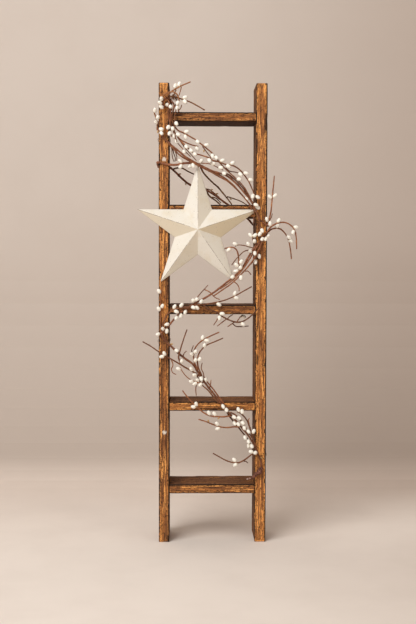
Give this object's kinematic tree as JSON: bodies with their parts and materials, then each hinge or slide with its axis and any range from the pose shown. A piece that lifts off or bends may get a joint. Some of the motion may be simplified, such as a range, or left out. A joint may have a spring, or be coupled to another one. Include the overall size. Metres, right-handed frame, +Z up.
{
  "type": "decorative ladder",
  "caption": "Decorative wooden ladder of deep rails and shelf-like rungs, with a folded metal star hung on a rung and a twig and berry garland wound down it",
  "frame": {"origin": "on the floor, midway between the rails' outer faces and midway through the boards' depth", "axes": "+X to the right seen from the front, +Y from the front to the back, +Z up the ladder"},
  "size_m": [0.3193, 0.1191, 0.9155],
  "materials": {
    "rail_wood": "honey-brown stain, worn through in places, dark in the grain and on the edges, matt wax",
    "rung_wood": "brown stain over honey wood, dark undersides and edges, matt wax",
    "brad_steel": "plain bright wire brads, sunk below the surface",
    "star_paint": "cream paint with faint brown speckles, satin",
    "hanging_wire": "plain grey wire",
    "nail_steel": "plain round nail",
    "main_bark": "reddish-brown covered wire stem, slightly ribbed",
    "twig_bark": "reddish-brown covered wire twig with small knots",
    "dark_bark": "dark brown covered wire twig",
    "stem_tape": "brown paper tape wound round the stem's end",
    "berry_skin": "ivory dipped berry, softly glossy",
    "bud_skin": "olive-brown bud",
    "tie_wire": "thin brown-painted wire, twisted shut"
  },
  "bodies": {
    "root": {"left_rail": "rail_wood", "right_rail": "rail_wood", "rung_1": "rung_wood", "rung_2": "rung_wood", "rung_3": "rung_wood", "rung_4": "rung_wood", "rung_5": "rung_wood", "left_rail_brads": "brad_steel", "right_rail_brads": "brad_steel", "star_shell": "star_paint", "star_hanging_wire": "hanging_wire", "star_nail": "nail_steel", "upper_main_stem": "main_bark", "middle_main_stem": "main_bark", "lower_main_stem": "main_bark", "garland_taped_end": "stem_tape", "top_twigs": "twig_bark", "upper_twigs": "twig_bark", "back_twigs": "dark_bark", "right_twigs": "twig_bark", "middle_twigs": "twig_bark", "lower_twigs": "twig_bark", "bottom_twigs": "twig_bark", "top_berries": "berry_skin", "upper_berries": "berry_skin", "right_berries": "berry_skin", "middle_berries": "berry_skin", "lower_berries": "berry_skin", "bottom_berries": "berry_skin", "garland_buds": "bud_skin", "garland_ties": "tie_wire"}
  },
  "joints": []
}
